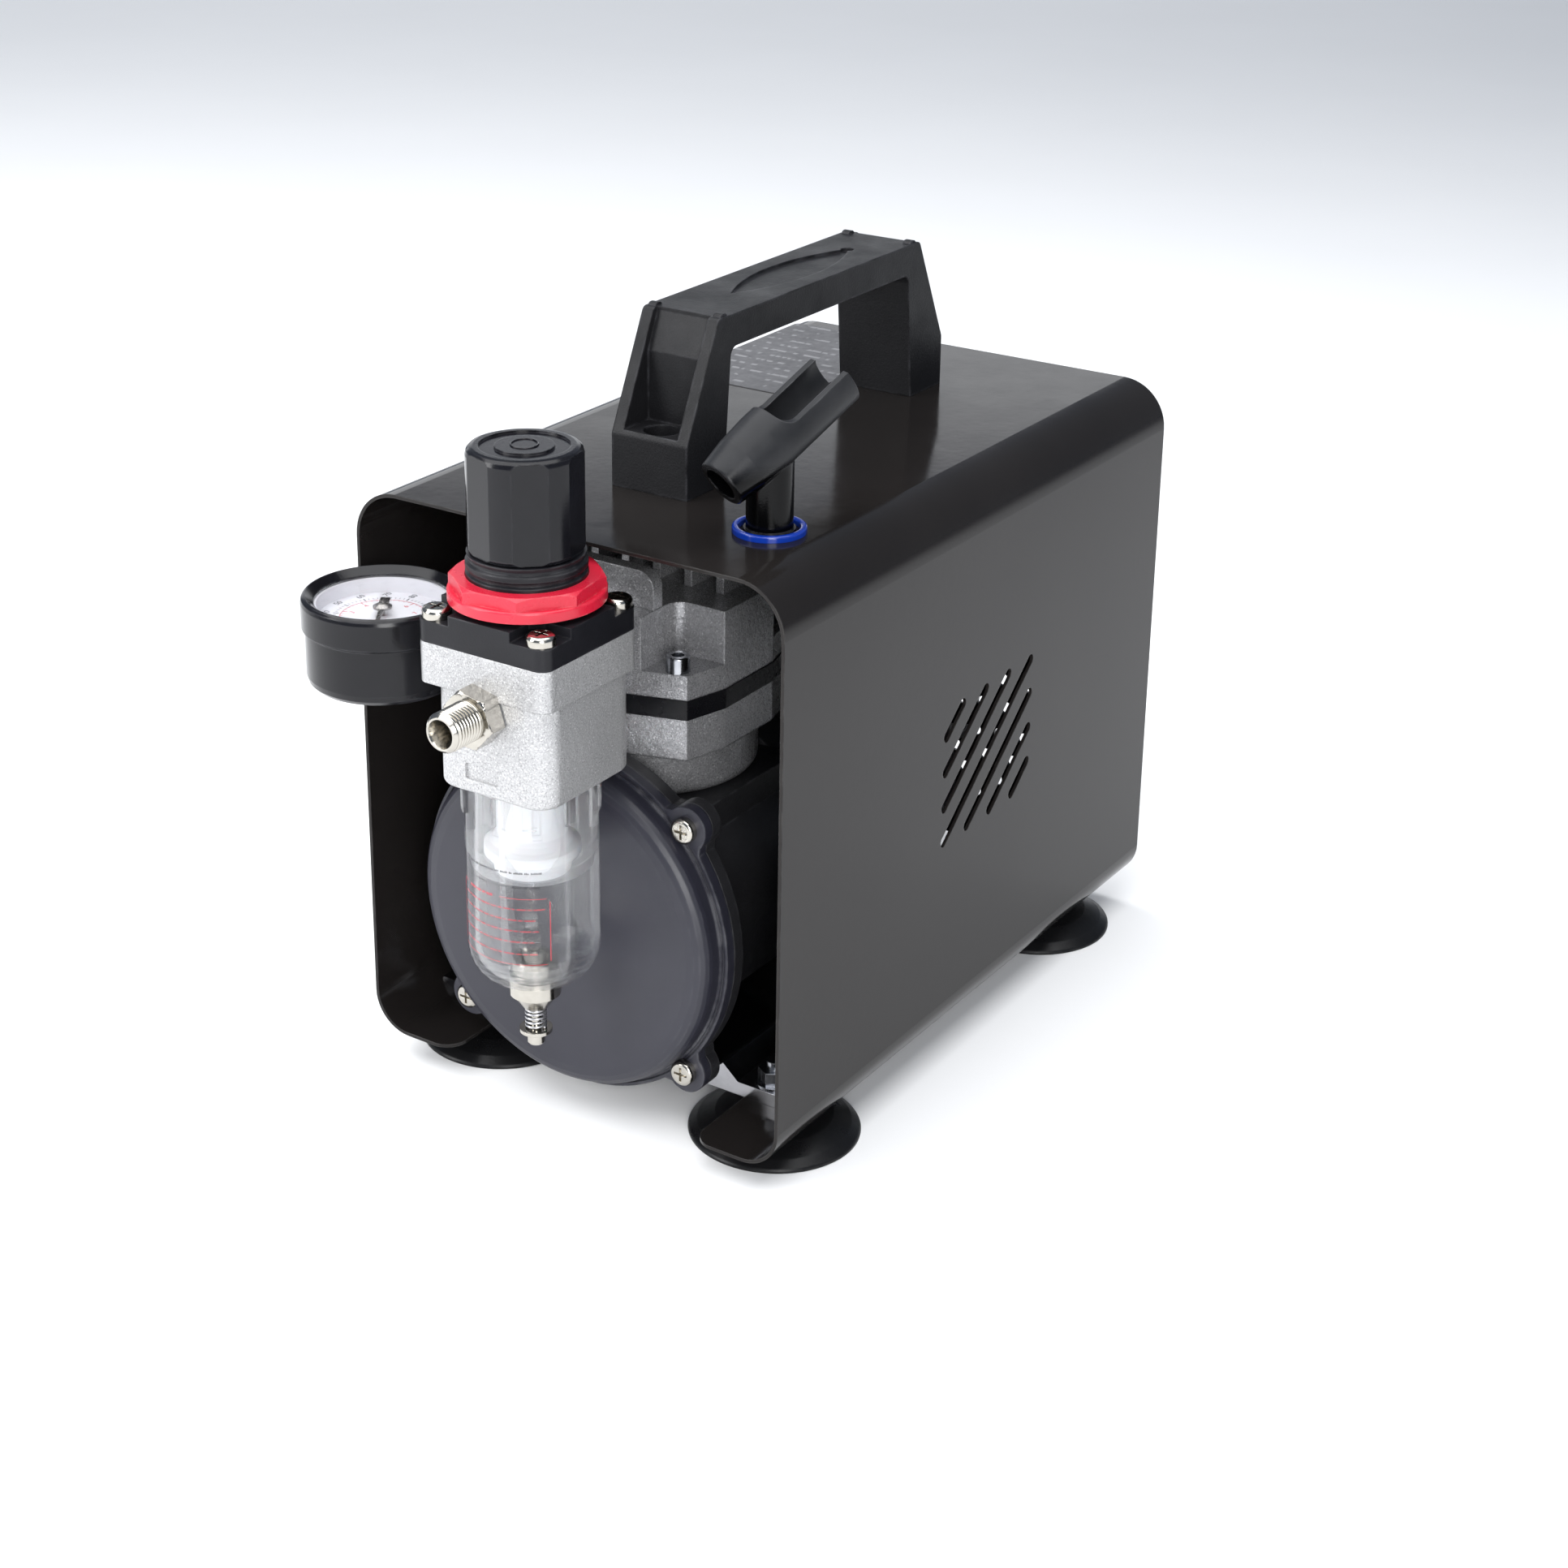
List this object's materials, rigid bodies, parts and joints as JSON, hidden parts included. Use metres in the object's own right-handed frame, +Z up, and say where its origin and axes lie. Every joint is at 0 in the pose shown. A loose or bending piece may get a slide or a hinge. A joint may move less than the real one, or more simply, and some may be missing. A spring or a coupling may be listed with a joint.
{
  "type": "airbrush air compressor",
  "caption": "Portable airbrush compressor: sheet-metal tunnel housing with carry handle, airbrush holder, piston pump and motor, regulator with gauge and clear filter bowl.",
  "frame": {"origin": "centre of the overall bounding box in plan, on the floor under the suction feet", "axes": "+Z up, -Y towards the regulator and outlet at the front, +X to the right seen from the front"},
  "size_m": [0.1736, 0.3188, 0.2681],
  "materials": {
    "black_powder_coat": "satin gloss powder coat",
    "dark_slate_paint": "matte",
    "black_cast_paint": "textured matte",
    "silver_cast_paint": "fine-grained silver paint on a casting",
    "bare_aluminium": "machined",
    "zinc_plate": "bright zinc",
    "steel": "ground",
    "nickel_plate": "nickel plate",
    "copper_wire": "enamelled copper",
    "textured_black_plastic": "fine spark-eroded texture",
    "satin_grey_plastic": "satin",
    "gloss_black_plastic": "gloss",
    "blue_plastic": "gloss",
    "red_plastic": "satin gloss",
    "white_plastic": "satin",
    "grey_plastic": "satin",
    "dial_face": "matte",
    "label_grey": "satin",
    "clear_plastic": "clear polycarbonate",
    "black_rubber": "smooth"
  },
  "bodies": {
    "chassis": {"housing_shell": "black_powder_coat", "rear_panel": "black_powder_coat", "carry_handle": "textured_black_plastic", "handle_bolts": "zinc_plate", "rating_label": "label_grey", "holder_collar": "blue_plastic", "base_plate": "zinc_plate", "vibration_mounts": "black_rubber", "crankcase": "black_cast_paint", "crankcase_cover": "dark_slate_paint", "cover_screws": "nickel_plate", "cylinder": "silver_cast_paint", "valve_plate": "black_cast_paint", "cylinder_head": "silver_cast_paint", "head_bolts": "zinc_plate", "intake_filter": "silver_cast_paint", "stator_core": "steel", "stator_windings": "copper_wire", "motor_end_bell": "bare_aluminium", "inlet_nipple": "nickel_plate", "regulator_body": "silver_cast_paint", "bonnet": "gloss_black_plastic", "bonnet_screws": "nickel_plate", "ring_nut": "red_plastic", "diaphragm": "black_rubber", "regulating_spring": "steel", "outlet_nipple": "nickel_plate", "gauge_case": "gloss_black_plastic", "gauge_dial": "dial_face", "gauge_lens": "clear_plastic", "filter_bowl": "clear_plastic", "filter_element": "white_plastic", "drain_collar": "nickel_plate", "drain_spring": "steel", "power_switch": "gloss_black_plastic", "cable_gland": "textured_black_plastic", "foot_studs": "zinc_plate", "suction_foot_front_left": "black_rubber", "suction_foot_front_right": "black_rubber", "suction_foot_rear_left": "black_rubber", "suction_foot_rear_right": "black_rubber"},
    "rotor": {"motor_shaft": "steel", "crank": "steel", "rotor_core": "bare_aluminium", "cooling_fan": "grey_plastic"},
    "con_rod": {"connecting_rod": "bare_aluminium", "wrist_pin": "steel"},
    "piston_body": {"piston": "bare_aluminium"},
    "spindle": {"adjusting_spindle": "nickel_plate"},
    "knob": {"adjusting_knob": "gloss_black_plastic"},
    "seat": {"spring_seat": "zinc_plate"},
    "pointer": {"gauge_pointer": "grey_plastic"},
    "drain": {"drain_pin": "nickel_plate"},
    "holder": {"airbrush_holder": "satin_grey_plastic", "holder_nut": "zinc_plate"},
    "rocker": {"switch_rocker": "gloss_black_plastic"}
  },
  "joints": [
    {"name": "rotor_spin", "type": "hinge", "parent": "chassis", "child": "rotor", "pos_m": [-0.006, -0.008, 0.0715], "axis": [0, 1, 0], "continuous": true},
    {"name": "rod_swing", "type": "hinge", "parent": "rotor", "child": "con_rod", "pos_m": [-0.006, -0.038, 0.0775], "axis": [0, 1, 0], "continuous": true},
    {"name": "piston_stroke", "type": "slide", "parent": "chassis", "child": "piston_body", "axis": [0, 0, 1], "range_m": [-0.012, 0]},
    {"name": "spindle_turn", "type": "hinge", "parent": "chassis", "child": "spindle", "pos_m": [0.0023, -0.11595, 0.22], "axis": [0, 0, 1], "range_deg": [-720, 720]},
    {"name": "knob_pull", "type": "slide", "parent": "spindle", "child": "knob", "axis": [0, 0, 1], "range_m": [0, 0.003]},
    {"name": "seat_travel", "type": "slide", "parent": "chassis", "child": "seat", "axis": [0, 0, 1], "range_m": [-0.003, 0.003], "deforming": ["regulating_spring"]},
    {"name": "pointer_sweep", "type": "hinge", "parent": "chassis", "child": "pointer", "pos_m": [-0.0566, -0.11595, 0.1803], "axis": [0, 0, -1], "range_deg": [0, 258]},
    {"name": "drain_push", "type": "slide", "parent": "chassis", "child": "drain", "axis": [0, 0, 1], "range_m": [0, 0.0025], "stiffness_N_per_m": 500, "springref_m": -0.002, "deforming": ["drain_spring"]},
    {"name": "holder_swivel", "type": "hinge", "parent": "chassis", "child": "holder", "pos_m": [0.0515, -0.05615, 0.22], "axis": [0, 0, 1], "continuous": true},
    {"name": "rocker_tilt", "type": "hinge", "parent": "chassis", "child": "rocker", "pos_m": [0.042, 0.151, 0.168], "axis": [-1, 0, 0], "range_deg": [0, 20]}
  ],
  "couplings": [
    {"joint": "rod_swing", "follows": "rotor_spin", "ratio": -1},
    {"joint": "spindle_turn", "follows": "seat_travel", "rad_per_m": 4188.8}
  ]
}
